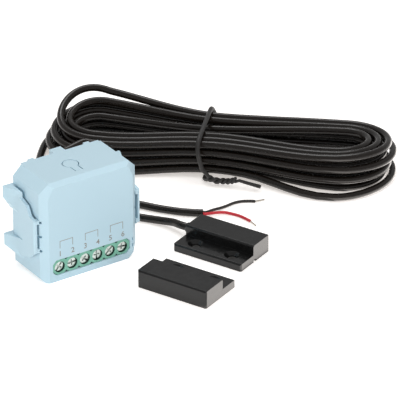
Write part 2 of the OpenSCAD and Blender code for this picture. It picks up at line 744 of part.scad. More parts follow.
module input_fuse() {
    color([0.3, 0.24, 0.18]) translate([coil_x + core_w + part_gap + fuse_r, board_y, varistor_z])
        rotate([90, 0, 0]) cylinder(r = fuse_r, h = fuse_len);
}
module surge_varistor() {
    leg_r = 0.35;
    x = relay_x - part_gap - varistor_t;
    color([0.1, 0.3, 0.6]) {
        translate([x, board_y - varistor_r - 2 * part_gap, varistor_z]) rotate([0, 90, 0])
            cylinder(r = varistor_r, h = varistor_t);
        for (side = [-1, 1]) translate([x + varistor_t / 2, board_y, varistor_z + side * varistor_r / 2])
            rotate([90, 0, 0]) cylinder(r = leg_r, h = varistor_r / 2 + 2 * part_gap);
    }
}
radio_x = -radio_w * 0.7;
radio_z = board_top - radio_h - part_gap;
radio_back = board_back + radio_t;
shield_h = split_y - shield_gap - radio_back;
module radio_board() {
    color([0.1, 0.2, 0.42]) translate([radio_x, board_back, radio_z]) cube([radio_w, radio_t, radio_h]);
}
// The shield leaves the aerial's end of the radio board free
module radio_shield() {
    margin = radio_w / 12;
    w = radio_w - 2 * margin;
    h = radio_h * 0.66;
    color(steel) translate([radio_x + margin, radio_back, radio_z + margin / 2]) difference() {
        cube([w, shield_h, h]);
        translate([shield_t, -1, shield_t])
            cube([w - 2 * shield_t, shield_h + 1 - shield_t, h - 2 * shield_t]);
    }
}
chip_x = radio_x + radio_w + part_gap;
module surface_chips() {
    color(black) {
        for (n = [0, 1]) translate([chip_x, board_back, radio_z + n * (chip_h + 2 * part_gap)])
            cube([chip_w, chip_t, chip_h]);
        translate([radio_x, board_back, radio_z - chip_h - 2 * part_gap]) cube([chip_w, chip_t, chip_h]);
    }
}
module status_led() {
    led = 0.8;
    color([0.9, 0.95, 0.9]) translate([button_x + switch_w / 2 + part_gap, board_y - led, switch_top - led])
        cube([2 * led, led, led]);
}
module push_switch() {
    color(black) translate([button_x, 0, 0]) difference() {
        translate([-switch_w / 2, button_y - switch_back, switch_top - switch_h])
            cube([switch_w, board_y - button_y + switch_back, switch_h]);
        translate([0, button_y, switch_top - plunger_seat - 0.4])
            cylinder(r = plunger_r + 0.05, h = switch_h);
    }
}
module switch_plunger() {
    color([0.85, 0.85, 0.82]) translate([button_x, button_y, switch_top - plunger_seat])
        cylinder(r = plunger_r, h = plunger_h + plunger_seat);
}

// Contact and magnet: an L-shaped case with a screw ledge, open below and closed by a base plate
edge = 0.5;
module block_case(cable) {
    difference() {
        intersection() {
            rotate([90, 0, 90]) linear_extrude(block_len) polygon([[0, 0], [block_w, 0],
                [block_w, block_h - edge], [block_w - edge, block_h], [ledge_w + edge, block_h],
                [ledge_w, block_h - edge], [ledge_w, ledge_h], [edge, ledge_h], [0, ledge_h - edge]]);
            translate([0, 0, -1]) linear_extrude(block_h + 2) polygon([[edge, 0], [block_len - edge, 0],
                [block_len, edge], [block_len, block_w - edge], [block_len - edge, block_w], [edge, block_w],
                [0, block_w - edge], [0, edge]]);
        }
        translate([case_wall, ledge_w + case_wall, -1])
            cube([block_len - 2 * case_wall, body_w - 2 * case_wall, block_h - case_wall + 1]);
        for (side = [-1, 1]) translate([block_len / 2 + side * hole_span / 2, hole_in, 0]) {
            translate([0, 0, -1]) cylinder(r = hole_r, h = ledge_h + 2);
            translate([0, 0, ledge_h - (sink_r - hole_r)])
                cylinder(r1 = hole_r, r2 = sink_r + eps, h = sink_r - hole_r + eps);
        }
        translate([block_len - case_wall - 1, ledge_w + 0.2, -1]) cube([case_wall + 2, notch_w, notch_h + 1]);
        if (cable) translate([-1, lead_in, cable_z]) rotate([0, 90, 0])
            cylinder(r = cable_r + 0.4, h = case_wall + 2);
    }
}
module block_base() {
    translate([case_wall + base_clear, ledge_w + case_wall + base_clear, 0])
        cube([block_len - 2 * (case_wall + base_clear), body_w - 2 * (case_wall + base_clear), base_t]);
}
module at_contact() { translate(contact_at) rotate([0, 0, block_yaw]) children(); }
module at_magnet() {
    translate(magnet_at) rotate([0, 0, block_yaw]) translate([block_len, block_w, 0])
        rotate([0, 0, 180]) children();
}
module contact_case() { color(black) at_contact() block_case(true); }
module contact_base() { color(black) at_contact() block_base(); }
module contact_gland() {
    color(black) at_contact() translate([0, lead_in, cable_z]) rotate([0, 90, 0]) {
        translate([0, 0, -gland_len]) cylinder(r1 = cable_r + 0.3, r2 = cable_r + 0.8, h = gland_len);
        translate([0, 0, -eps]) cylinder(r = cable_r + 0.35, h = case_wall + 0.6);
    }
}
reed_x = (block_len - reed_len) / 2;
reed_y = ledge_w + body_w / 2;
reed_gap = 0.1;
reed_z = base_t + reed_r + reed_gap;
reed_wall = 0.35;
reed_seal = 1;
reed_lead = 3;
lead_r = 0.25;
blade_w = 1;
blade_t = 0.2;
blade_lap = 0.7;
blade_gap = 0.06;
module reed_glass() {
    color([0.7, 0.85, 0.75]) at_contact() translate([reed_x, reed_y, reed_z]) rotate([0, 90, 0])
        difference() {
            cylinder(r = reed_r, h = reed_len);
            translate([0, 0, reed_seal]) cylinder(r = reed_r - reed_wall, h = reed_len - 2 * reed_seal);
            translate([0, 0, -1]) cylinder(r = lead_r + 0.05, h = reed_len + 2);
        }
}
module reed_blades() {
    color(steel) at_contact() translate([reed_x, reed_y, reed_z]) for (side = [0, 1])
        translate([side * reed_len, 0, 0]) scale_x(side == 0 ? 1 : -1) {
            translate([-reed_lead, 0, 0]) rotate([0, 90, 0])
                cylinder(r = lead_r, h = reed_lead + 2 * reed_seal);
            translate([2 * reed_seal - reed_gap, -blade_w / 2, side == 0 ? blade_gap : -blade_gap - blade_t])
                cube([reed_len / 2 - 2 * reed_seal + reed_gap + blade_lap, blade_w, blade_t]);
        }
}
module magnet_case() { color(black) at_magnet() block_case(false); }
module magnet_base() { color(black) at_magnet() block_base(); }
module bar_magnet() {
    color([0.45, 0.45, 0.47]) at_magnet()
        translate([(block_len - magnet_len) / 2, ledge_w + (body_w - magnet_w) / 2, base_t])
            cube([magnet_len, magnet_w, magnet_w]);
}

module lead_to_contact() { color(black) tube(contact_route, cable_r, 8); }
module lead_free_end() { color(black) tube(free_route, cable_r, 8); }
module cable_hank() {
    echo(hank_self_gap_mm = hank_gap);
    color(black) tube(hank_route, cable_r, 6);
}
module core_black() { color(black) tube(black_route, core_r, 8); }
module core_red() { color([0.78, 0.2, 0.24]) tube(red_route, core_r, 8); }
module core_tips() {
    color(steel) {
        tube(black_tip, tip_d / 2, 8);
        tube(red_tip, tip_d / 2, 8);
    }
}
// One coated wire round the hank's waist, whose end runs on as a tail beside the hank
tie_corners = [[-1, 0], [1, 0], [1, 1], [-1, 1]];
function tie_arc(n, i) =
    let (c = tie_corners[n], a = 180 + 90 * n + 22.5 * i)
    [c[0] * (tie_half - tie_bend) + tie_bend * cos(a),
     (c[1] == 0 ? tie_r + tie_bend : tie_top - tie_bend) + tie_bend * sin(a)];
tie_ring = concat([[-tie_half, 6]], [for (n = [0:3]) for (i = [0:4]) tie_arc(n, i)], [[-tie_half, 6]]);
tie_tail = [[0.9, -0.9, 3.9], [2.6, -1.8, 2.5], [5, -2.1, 1.5], [8.4, -2.1, 1.05], [12, -2.4, 0.9],
    [15.6, -2.8, 0.9], [19, -3.2, 0.9]];
tie_last = len(tie_ring) - 1;
tie_route = concat(
    [for (n = [0:tie_last]) [tie_s + tie_pass * (n / tie_last - 0.5), tie_ring[n][0], tie_ring[n][1]]],
    [for (p = tie_tail) [tie_s + tie_pass / 2, -tie_half, 0] + p]);
function tie_world(p) = let (q = hank_world([p[0], p[1]])) [q[0], q[1], p[2]];
module hank_tie() { color(black) tube([for (p = tie_route) tie_world(p)], tie_r, 8); }

front_shell();
rear_cover();
button_flap();
terminal_block();
terminal_bars();
for (i = [1:poles]) terminal_screw(i);
for (i = [1:poles]) clamp_cage(i);
main_board();
relay();
supply_transformer();
smoothing_capacitors();
input_fuse();
surge_varistor();
radio_board();
radio_shield();
surface_chips();
status_led();
push_switch();
switch_plunger();
contact_case();
contact_base();
contact_gland();
reed_glass();
reed_blades();
magnet_case();
magnet_base();
bar_magnet();
lead_to_contact();
cable_hank();
lead_free_end();
core_black();
core_red();
core_tips();
hank_tie();
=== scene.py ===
import json
import math
import bmesh
import bpy
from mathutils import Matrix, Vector


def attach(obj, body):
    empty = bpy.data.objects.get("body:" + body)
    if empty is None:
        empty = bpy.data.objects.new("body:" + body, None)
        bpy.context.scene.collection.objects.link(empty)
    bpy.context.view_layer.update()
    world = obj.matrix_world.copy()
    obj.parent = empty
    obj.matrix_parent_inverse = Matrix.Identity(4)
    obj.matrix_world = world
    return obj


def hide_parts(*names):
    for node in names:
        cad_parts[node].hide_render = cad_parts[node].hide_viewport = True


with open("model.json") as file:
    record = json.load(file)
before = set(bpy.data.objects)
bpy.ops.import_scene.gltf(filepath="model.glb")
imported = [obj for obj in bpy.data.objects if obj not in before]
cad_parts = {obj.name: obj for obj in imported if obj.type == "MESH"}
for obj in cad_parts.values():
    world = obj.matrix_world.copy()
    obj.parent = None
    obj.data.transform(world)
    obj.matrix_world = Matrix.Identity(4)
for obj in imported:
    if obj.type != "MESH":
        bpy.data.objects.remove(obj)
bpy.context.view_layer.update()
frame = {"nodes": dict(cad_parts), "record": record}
scene = bpy.context.scene
mm = 0.001
rootBody = "kit"
poles = range(1, 7)


def addNode(tree, kind, settings=None, inputs=None):
    node = tree.nodes.new(kind)
    for key, value in (settings or {}).items():
        setattr(node, key, value)
    for socket, value in (inputs or {}).items():
        if isinstance(value, bpy.types.NodeSocket):
            tree.links.new(value, node.inputs[socket])
        else:
            node.inputs[socket].default_value = value
    return node


def hexColor(code):
    parts = [int(code[i:i + 2], 16) / 255 for i in (1, 3, 5)]
    return tuple(c / 12.92 if c <= 0.04045 else ((c + 0.055) / 1.055) ** 2.4 for c in parts) + (1.0,)


def perMm(size):
    return 1 / (size * mm)  # a texture scale that gives one feature every size millimetres


# A look holds a colour and a roughness, and an ior, a metallic value and a grain where the finish has them.
# The grain is its size and depth in millimetres. Where a look is uneven, the roughness varies with the grain,
# over the span from low to high that the noise mostly keeps to.
grainNoise = {"detail": 3.0, "roughness": 0.55, "low": 0.35, "high": 0.65}


def addGrain(tree, shader, look):
    size, depth = look["grain"]
    place = addNode(tree, "ShaderNodeTexCoord").outputs["Object"]
    noise = addNode(tree, "ShaderNodeTexNoise", inputs={
        "Vector": place, "Scale": perMm(size), "Detail": look.get("detail", grainNoise["detail"]),
        "Roughness": grainNoise["roughness"]}).outputs["Fac"]
    bump = addNode(tree, "ShaderNodeBump", inputs={"Height": noise, "Strength": 1.0, "Distance": depth * mm})
    tree.links.new(bump.outputs["Normal"], shader.inputs["Normal"])
    if "uneven" in look:
        rough = addNode(tree, "ShaderNodeMapRange", inputs={
            "Value": noise, "From Min": grainNoise["low"], "From Max": grainNoise["high"],
            "To Min": look["roughness"] - look["uneven"], "To Max": look["roughness"] + look["uneven"]})
        tree.links.new(rough.outputs["Result"], shader.inputs["Roughness"])


def newMaterial(name, look):
    material = bpy.data.materials.new(name)
    material.use_nodes = True
    tree = material.node_tree
    tree.nodes.clear()
    surface = {"Base Color": hexColor(look["color"]), "Roughness": look["roughness"],
               "Metallic": look.get("metallic", 0.0)}
    if "ior" in look:
        surface["IOR"] = look["ior"]
    shader = addNode(tree, "ShaderNodeBsdfPrincipled", inputs=surface)
    addNode(tree, "ShaderNodeOutputMaterial", inputs={"Surface": shader.outputs["BSDF"]})
    if "grain" in look:
        addGrain(tree, shader, look)
    return material


def shaderOf(material):
    return material.node_tree.nodes["Principled BSDF"]


def paint(piece, material):
    piece.data.materials.clear()
    piece.data.materials.append(material)
    return piece


def seat(piece, body, slotName, *nodes):
    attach(piece, body)
    if nodes:
        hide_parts(*nodes)
    return piece


def newPiece(name, data):
    piece = bpy.data.objects.new(name, data)
    scene.collection.objects.link(piece)
    return piece


def asMesh(piece, name):
    graph = bpy.context.evaluated_depsgraph_get()
    finished = piece.evaluated_get(graph)
    mesh = bpy.data.meshes.new_from_object(finished, preserve_all_data_layers=True, depsgraph=graph)
    mesh.name = name
    place = piece.matrix_world.copy()
    bpy.data.objects.remove(piece)
    mesh.transform(place)
    return newPiece(name, mesh)


def joinPieces(pieces, name):
    form = bmesh.new()
    for piece in pieces:
        form.from_mesh(piece.data)
        bpy.data.objects.remove(piece)
    mesh = bpy.data.meshes.new(name)
    form.to_mesh(mesh)
    form.free()
    return newPiece(name, mesh)


def pieceName(node):
    first, *rest = node.split("_")
    return first + "".join(word.capitalize() for word in rest)


def bodyOf(node):
    for body, members in frame["record"]["behaviour"]["bodies"].items():
        if node in members:
            return body


def slotOf(node):
    for row in frame["record"]["subparts"]:
        if row["node"] == node:
            return row["material_slot"]


# Angles are in degrees: sharper edges than the first are rounded, flatter ones than the second dissolved
edges = {"segments": 2, "sharpAngle": 30, "flatAngle": 1, "mergeGap": 0.001, "flatWeight": 100}


# A CAD solid with its sharp edges rounded, as they come out of a mould or off a press
def softened(node, material, width):
    name = pieceName(node)
    mesh = frame["nodes"][node].data.copy()
    form = bmesh.new()
    form.from_mesh(mesh)
    bmesh.ops.remove_doubles(form, verts=form.verts, dist=edges["mergeGap"] * mm)
    flat = math.radians(edges["flatAngle"])
    bmesh.ops.dissolve_limit(form, angle_limit=flat, verts=form.verts, edges=form.edges)
    form.to_mesh(mesh)
    form.free()
    mesh.shade_smooth()
    piece = newPiece(name + "Rough", mesh)
    bevel = piece.modifiers.new("softEdges", "BEVEL")
    bevel.width = width * mm
    bevel.segments = edges["segments"]
    bevel.limit_method = "ANGLE"
    bevel.angle_limit = math.radians(edges["sharpAngle"])
    bevel.miter_outer = "MITER_ARC"
    bevel.use_clamp_overlap = True
    flatFaces = piece.modifiers.new("flatFaces", "WEIGHTED_NORMAL")  # keeps the large faces evenly lit
    flatFaces.mode = "FACE_AREA"
    flatFaces.weight = edges["flatWeight"]
    bpy.context.view_layer.update()
    piece = paint(asMesh(piece, name), material)
    return seat(piece, bodyOf(node), slotOf(node), node)


# Camera at the photograph's angle
view = {"place": (-0.50713, -0.82935, 0.53941), "tilt": 62.01, "turn": -33.95, "lens": 288, "sensor": 36,
        "near": 0.01}
cameraData = bpy.data.cameras.new("photoCamera")
cameraData.lens = view["lens"]
cameraData.sensor_width = view["sensor"]
cameraData.clip_start = view["near"]
camera = newPiece("photoCamera", cameraData)
camera.location = view["place"]
camera.rotation_euler = (math.radians(view["tilt"]), 0, math.radians(view["turn"]))
scene.camera = camera
print("camera placed")

# Studio: dim white room, a bright panel behind, and soft fill lamps that leave no gleam of their own
room = {"color": "#FFFFFF", "light": 0.3, "seen": 0.42}  # what it lends the object, and how bright it shows
lamps = [
    {"name": "backPanel", "place": (0.36, 0.56, 0.97), "aim": (0.05, 0.02, 0), "size": (0.5, 0.5),
     "power": 3.2, "gleam": True},
    {"name": "overheadFill", "place": (0.05, -0.4, 0.85), "aim": (0.03, -0.02, 0), "size": (0.9, 0.9),
     "power": 4.7, "gleam": False},
    {"name": "frontFill", "place": (0.1, -1, 0.15), "aim": (0, 0, 0.015), "size": (0.8, 0.25),
     "power": 2.6, "gleam": False},
    {"name": "leftFill", "place": (-1, -0.15, 0.15), "aim": (0, 0, 0.015), "size": (0.8, 0.25),
     "power": 3.8, "gleam": False},
]
scene.view_settings.view_transform = "Standard"


# 1 for rays that show a surface to the eye, straight on, in a gloss or through glass
def seenRays(tree):
    rays = addNode(tree, "ShaderNodeLightPath").outputs
    seen = rays["Is Camera Ray"]
    for kind in ("Is Glossy Ray", "Is Transmission Ray"):
        either = addNode(tree, "ShaderNodeMath", {"operation": "MAXIMUM"}, {0: seen, 1: rays[kind]})
        seen = either.outputs["Value"]
    return seen


world = bpy.data.worlds.new("whiteRoom")
world.use_nodes = True
scene.world = world
tree = world.node_tree
tree.nodes.clear()
level = addNode(tree, "ShaderNodeMapRange",
                inputs={"Value": seenRays(tree), "To Min": room["light"], "To Max": room["seen"]})
walls = addNode(tree, "ShaderNodeBackground",
                inputs={"Color": hexColor(room["color"]), "Strength": level.outputs["Result"]})
addNode(tree, "ShaderNodeOutputWorld", inputs={"Surface": walls.outputs["Background"]})

for lamp in lamps:
    light = bpy.data.lights.new(lamp["name"], "AREA")
    light.shape = "RECTANGLE"
    light.size, light.size_y = lamp["size"]
    light.energy = lamp["power"]
    lampPiece = newPiece(lamp["name"], light)
    lampPiece.location = lamp["place"]
    aim = Vector(lamp["aim"]) - Vector(lamp["place"])
    lampPiece.rotation_euler = aim.to_track_quat("-Z", "Y").to_euler()
    lampPiece.visible_glossy = lamp["gleam"]

# Floor: matt white paper, which glows a little where it is seen, so that it shows white and keeps the shadows
paper = {"color": "#F4F4F4", "roughness": 0.9, "gloss": 0.0, "reach": 3.0, "drop": 0.05, "glow": 0.52,
         "glowColor": "#FFF8F2", "paintedPatchGlow": 2.5}
# A painted glow patch on the floor at the right, seen only in glossy rays and brighter than white, which the
# blocks' polished ends mirror as a painted reflection.
# Each border lies across a direction, and the patch's share goes from one value to the other over it, in
# metres from the origin.
paintedPatchBorders = [
    {"across": (0.39, -0.92, 0), "start": 0.0522, "end": 0.054, "shares": (0, 1)},
    {"across": (0.39, -0.92, 0), "start": 0.068, "end": 0.075, "shares": (1, 0)},
    {"across": (0.92, 0.39, 0), "start": -0.0065, "end": -0.0045, "shares": (0, 1)},
]
corners = [(x * paper["reach"], y * paper["reach"], -paper["drop"] * mm)
           for x, y in ((-1, -1), (1, -1), (1, 1), (-1, 1))]
floorMesh = bpy.data.meshes.new("floor")
floorMesh.from_pydata(corners, [], [(0, 1, 2, 3)])
floor = newPiece("floor", floorMesh)
whitePaper = newMaterial("whitePaper", paper)
tree = whitePaper.node_tree
glow = addNode(tree, "ShaderNodeMath", {"operation": "MULTIPLY"}, {0: seenRays(tree), 1: paper["glow"]})
place = addNode(tree, "ShaderNodeTexCoord").outputs["Object"]
share = addNode(tree, "ShaderNodeLightPath").outputs["Is Glossy Ray"]
for border in paintedPatchBorders:
    far = addNode(tree, "ShaderNodeVectorMath", {"operation": "DOT_PRODUCT"}, {0: place, 1: border["across"]})
    first, last = border["shares"]
    step = addNode(tree, "ShaderNodeMapRange", {"interpolation_type": "SMOOTHSTEP"}, {
        "Value": far.outputs["Value"], "From Min": border["start"], "From Max": border["end"],
        "To Min": first, "To Max": last})
    both = addNode(tree, "ShaderNodeMath", {"operation": "MULTIPLY"}, {0: share, 1: step.outputs["Result"]})
    share = both.outputs["Value"]
# Adds the painted glow patch, seen only in glossy rays, to the floor's even glow
glow = addNode(tree, "ShaderNodeMath", {"operation": "MULTIPLY_ADD"},
               {0: share, 1: paper["paintedPatchGlow"], 2: glow.outputs["Value"]})
shader = shaderOf(whitePaper)
shader.inputs["Emission Color"].default_value = hexColor(paper["glowColor"])
shader.inputs["Specular IOR Level"].default_value = paper["gloss"]
tree.links.new(glow.outputs["Value"], shader.inputs["Emission Strength"])
paint(floor, whitePaper)
print("studio lit")

# Cable: one unbroken curve from the contact's gland through the hank to the bare cores.
# Places along the hank are counted in rings: a turn has turnRings of them, and layers begin and end at the
# rings in layerEnds.
cable = {"diameter": 2.8, "roundSteps": 4, "at": (82, 33), "yaw": -44, "runHalf": 45, "loopStart": 20.6,
         "loopStep": 3.6, "layerStep": 3.3, "waistIn": 5.4, "lift": 2.05, "turnRings": 24, "climbRings": 4,
         "layerEnds": (0, 76, 80, 148, 152, 220, 224, 284), "finer": 4, "leadSteps": 8, "fanLeft": 0.6,
         "fanRight": 0.45, "fanSharp": 3, "leanLeft": 1.6, "looseUp": 2.6, "looseOut": 1.4,
         "looseRings": (262, 270), "slackAt": 40, "slackHalf": 30, "slackOut": 4.6, "slackRings": (12, 20)}
cableRadius = cable["diameter"] / 2
hankHalf = cable["runHalf"] + cable["loopStart"]


def spin(x, y, degrees):
    a = math.radians(degrees)
    return x * math.cos(a) - y * math.sin(a), x * math.sin(a) + y * math.cos(a)


def hankPlace(along, across, up):
    x, y = spin(along, across, cable["yaw"])
    return Vector((cable["at"][0] + x, cable["at"][1] + y, up))


def between(a, b, share):
    return a + (b - a) * share


def ease(t):
    t = min(1, max(0, t))
    return t * t * (3 - 2 * t)


# Half the loop's width at ring k: it shrinks and grows layer by layer, and stays the same on a climb
def loopHalf(k):
    ends = cable["layerEnds"]
    step = cable["loopStep"] / cable["turnRings"]
    inner = cable["loopStart"] - step * (ends[1] - ends[0])
    outer = inner + step * (ends[3] - ends[2])
    last = inner + step * (ends[7] - ends[6])
    legs = [(cable["loopStart"], inner), (inner, inner), (inner, outer), (outer, outer),
            (outer, inner), (inner, inner), (inner, last)]
    for n, (a, b) in enumerate(legs):
        if k <= ends[n + 1]:
            return between(a, b, (k - ends[n]) / (ends[n + 1] - ends[n]))
    return last


# How many layers up the cable is at ring k
def climbed(k):
    starts = cable["layerEnds"][1:-1:2]
    return sum(ease((k - start) / cable["climbRings"]) for start in starts)


# One turn in six equal parts: a quarter bend, the far run, two for the right end's half bend, the near run
# and a quarter bend back
def loopPoint(ring, half):
    run = cable["runHalf"]
    part = 6 * ring / cable["turnRings"]
    if part < 1:
        a = math.radians(90 * part)
        return -run - half * math.cos(a), half * math.sin(a)
    if part < 2:
        return between(-run, run, part - 1), half
    if part < 4:
        a = math.radians(90 * (part - 2))
        return run + half * math.sin(a), half * math.cos(a)
    if part < 5:
        return between(run, -run, part - 4), -half
    a = math.radians(90 * (part - 5))
    return -run - half * math.sin(a), -half * math.cos(a)


# The upper layers rise at the left end's far side and at the right end's near side
def hankTwist(along, across):
    far = 0.5 + across / (2 * cable["loopStart"])
    rise = cable["fanLeft"] * far ** cable["fanSharp"] if along < 0 else cable["fanRight"] * (1 - far)
    return ease(abs(along) / hankHalf) * rise


# The first loop lies loose on the near side, right of the tie
def hankSlack(k, along):
    first, last = cable["slackRings"]
    off = (along - cable["slackAt"]) / cable["slackHalf"]
    if k < first or k > last or abs(off) > 1:
        return 0
    return cable["slackOut"] * math.cos(math.radians(90 * off)) ** 2


# The layers lean away from the camera at the left end
def hankLean(k, along):
    return cable["leanLeft"] * climbed(k) * ease(-along / hankHalf)


# The top loop stands off from the rest at the left end
def hankLoose(k):
    first, last = cable["looseRings"]
    share = (k - first) / (last - first)
    return math.sin(math.pi * share) ** 2 if 0 < share < 1 else 0


def hankPoint(k):
    along, across = loopPoint(k % cable["turnRings"], loopHalf(k))
    run = cable["runHalf"]
    waist = 0 if abs(along) >= run else math.cos(math.radians(90 * along / run)) ** 2
    up = cable["layerStep"] * climbed(k) * (1 + hankTwist(along, across)) + cable["looseUp"] * hankLoose(k)
    across -= math.copysign(cable["waistIn"] * waist, across) if across else 0
    across += hankLean(k, along) + cable["looseOut"] * hankLoose(k) - hankSlack(k, along)
    return hankPlace(along, across, cableRadius + cable["lift"] * waist + up)


# A smooth route through given points
def smoothed(points, steps):
    route = []
    for i in range(len(points) - 1):
        a = points[max(0, i - 1)]
        b, c = points[i], points[i + 1]
        d = points[min(len(points) - 1, i + 2)]
        for n in range(steps):
            t = n / steps
            route.append(0.5 * ((2 * b) + (c - a) * t + (2 * a - 5 * b + 4 * c - d) * t * t
                                + (3 * b - a - 3 * c + d) * t ** 3))
    route.append(points[-1])
    return route


def tubeCurve(name, route, radius, roundSteps, widths=None):
    data = bpy.data.curves.new(name, "CURVE")
    data.dimensions = "3D"
    data.bevel_depth = radius * mm
    data.bevel_resolution = roundSteps
    data.use_fill_caps = True
    spline = data.splines.new("POLY")
    spline.points.add(len(route) - 1)
    for n, place in enumerate(route):
        spline.points[n].co = (*(place * mm), 1)
        spline.points[n].radius = widths[n] if widths else 1
    return newPiece(name, data)


contact = {"corner": (30.8, -13.6), "yaw": -67, "height": 6.6, "gland": 2.2, "leadIn": 12.16}
glandX, glandY = spin(-contact["gland"], contact["leadIn"], contact["yaw"])
glandPlace = Vector((contact["corner"][0] + glandX, contact["corner"][1] + glandY, contact["height"] / 2))
glandOut = Vector((*spin(-1, 0, contact["yaw"]), 0)) * cable["diameter"]
onFloor = cableRadius
contactLead = [(39.6, -0.4, 2.7), (37.6, 4.4, 1.9), (34.4, 9.8, onFloor), (30, 15.6, onFloor),
               (25.4, 21.6, onFloor), (21.2, 28.4, onFloor), (18.4, 35.8, onFloor), (17.4, 43.6, onFloor),
               (18.2, 51.4, onFloor), (20.6, 58.8, onFloor), (24.2, 65.6, onFloor), (28.6, 71.6, onFloor)]
freeLead = [(31.2, 55.2, 10.6), (26.8, 55.2, 9.4), (23.2, 53, 7.9), (21, 49.2, 6.3), (20.9, 44.8, 4.8),
            (22.6, 41, 3.6), (25.4, 37, 2.5), (28.4, 32.8, 1.7), (31.6, 28.4, onFloor), (35.2, 23.6, onFloor),
            (38.7, 19, onFloor), (42.6, 12.9, onFloor), (47.4, 7, onFloor), (51.2, 3.4, onFloor),
            (53.6, 1.6, onFloor)]
lastRing = cable["layerEnds"][-1]
hankPoints = [hankPoint(n / cable["finer"]) for n in range(lastRing * cable["finer"] + 1)]
nearOut = Vector((*spin(0, -1, cable["yaw"]), 0)) * cable["diameter"]
leftOut = Vector((*spin(-1, 0, cable["yaw"]), 0)) * cable["diameter"]
contactPoints = [glandPlace, glandPlace + glandOut] + [Vector(p) for p in contactLead]
contactPoints += [hankPoints[0] + nearOut, hankPoints[0]]
freePoints = [hankPoints[-1], hankPoints[-1] + leftOut] + [Vector(p) for p in freeLead]
cableRoute = smoothed(contactPoints, cable["leadSteps"])[:-1] + hankPoints[:-1]
cableRoute += smoothed(freePoints, cable["leadSteps"])
cablePiece = tubeCurve("cable", cableRoute, cableRadius, cable["roundSteps"])

# Its jacket: soft PVC drawn through a die, which gives a soft gloss with faint ripples along its length
jacket = {"color": "#15100C", "roughness": 0.255, "uneven": 0.035, "ior": 1.45, "grain": (4, 0.006),
          "detail": 1.0}
paint(cablePiece, newMaterial("blackPvcJacket", jacket))
seat(cablePiece, rootBody, "cable_jacket", "lead_to_contact", "cable_hank", "lead_free_end")

# Cores: PVC insulation, smooth and slightly waxy
cores = {"diameter": 1.1, "roundSteps": 3, "steps": 8}
blackPvc = {"color": "#26221F", "roughness": 0.38, "ior": 1.52, "grain": (0.5, 0.01)}
redPvc = {"color": "#CE2C38", "roughness": 0.36, "ior": 1.52, "grain": (0.5, 0.01)}
coreRadius = cores["diameter"] / 2
coreRoutes = {
    "blackCore": [(53.97, 2.1, 1.4), (54.93, 1.38, 1.4), (57.8, 2, 1.1), (61, 2.2, 0.8),
                  (64.2, 2.6, coreRadius), (67.6, 3, coreRadius), (70.6, 2.6, coreRadius),
                  (73.2, 1.2, coreRadius), (75, -0.2, coreRadius)],
    "redCore": [(53.23, 1.1, 1.4), (54.19, 0.38, 1.4), (57.8, -0.3, 1.1), (60.8, -1.4, 0.8),
                (62.8, -3.6, coreRadius), (64, -6.2, coreRadius), (64.6, -8.8, coreRadius),
                (65, -11.4, coreRadius)],
}
for name, material, node in (("blackCore", newMaterial("blackPvcInsulation", blackPvc), "core_black"),
                             ("redCore", newMaterial("redPvcInsulation", redPvc), "core_red")):
    route = smoothed([Vector(p) for p in coreRoutes[name]], cores["steps"])
    piece = asMesh(tubeCurve(name + "Curve", route, coreRadius, cores["roundSteps"]), name)
    piece.data.shade_smooth()
    seat(paint(piece, material), rootBody, slotOf(node), node)

# Bare tips: tinned copper, soft-bright wire that is drawn fine and twisted
tips = {"ends": {"blackCore": (78.6, -0.7, 0.4), "redCore": (64.9, -15, 0.4)}, "strands": 6,
        "strandSize": 0.17, "strandSides": 8, "laySpread": 1.1, "layTurns": 1.6, "layRings": 16,
        "color": "#C9C3B8", "roughness": 0.32, "metallic": 1.0, "grain": (0.2, 0.004)}
tinnedCopper = newMaterial("tinnedCopper", tips)


def strandTree():
    tree = bpy.data.node_groups.new("twistedStrands", "GeometryNodeTree")
    sockets = {}
    for label, kind in (("Length", "Float"), ("Strand Radius", "Float"), ("Lay Radius", "Float"),
                        ("Turns", "Float"), ("Strands", "Int"), ("Material", "Material")):
        socket = tree.interface.new_socket(label, in_out="INPUT", socket_type="NodeSocket" + kind)
        sockets[label] = socket.identifier
    tree.interface.new_socket("Geometry", in_out="OUTPUT", socket_type="NodeSocketGeometry")
    source = addNode(tree, "NodeGroupInput").outputs
    helix = addNode(tree, "GeometryNodeCurveSpiral", inputs={
        "Resolution": tips["layRings"], "Rotations": source["Turns"], "Start Radius": source["Lay Radius"],
        "End Radius": source["Lay Radius"], "Height": source["Length"]})
    section = addNode(tree, "GeometryNodeCurvePrimitiveCircle", inputs={
        "Resolution": tips["strandSides"], "Radius": source["Strand Radius"]})
    strand = addNode(tree, "GeometryNodeCurveToMesh", inputs={
        "Curve": helix.outputs["Curve"], "Profile Curve": section.outputs["Curve"], "Fill Caps": True})
    places = addNode(tree, "GeometryNodePoints", inputs={"Count": source["Strands"]})
    index = addNode(tree, "GeometryNodeInputIndex").outputs["Index"]
    share = addNode(tree, "ShaderNodeMath", {"operation": "DIVIDE"},
                    {0: index, 1: source["Strands"]}).outputs["Value"]
    turn = addNode(tree, "ShaderNodeMath", {"operation": "MULTIPLY"}, {0: share, 1: 2 * math.pi})
    angle = addNode(tree, "ShaderNodeCombineXYZ", inputs={"Z": turn.outputs["Value"]})
    copies = addNode(tree, "GeometryNodeInstanceOnPoints", inputs={
        "Points": places.outputs["Points"], "Instance": strand.outputs["Mesh"],
        "Rotation": angle.outputs["Vector"]})
    real = addNode(tree, "GeometryNodeRealizeInstances", inputs={"Geometry": copies.outputs["Instances"]})
    painted = addNode(tree, "GeometryNodeSetMaterial",
                      inputs={"Geometry": real.outputs["Geometry"], "Material": source["Material"]})
    addNode(tree, "NodeGroupOutput", inputs={"Geometry": painted.outputs["Geometry"]})
    return tree, sockets


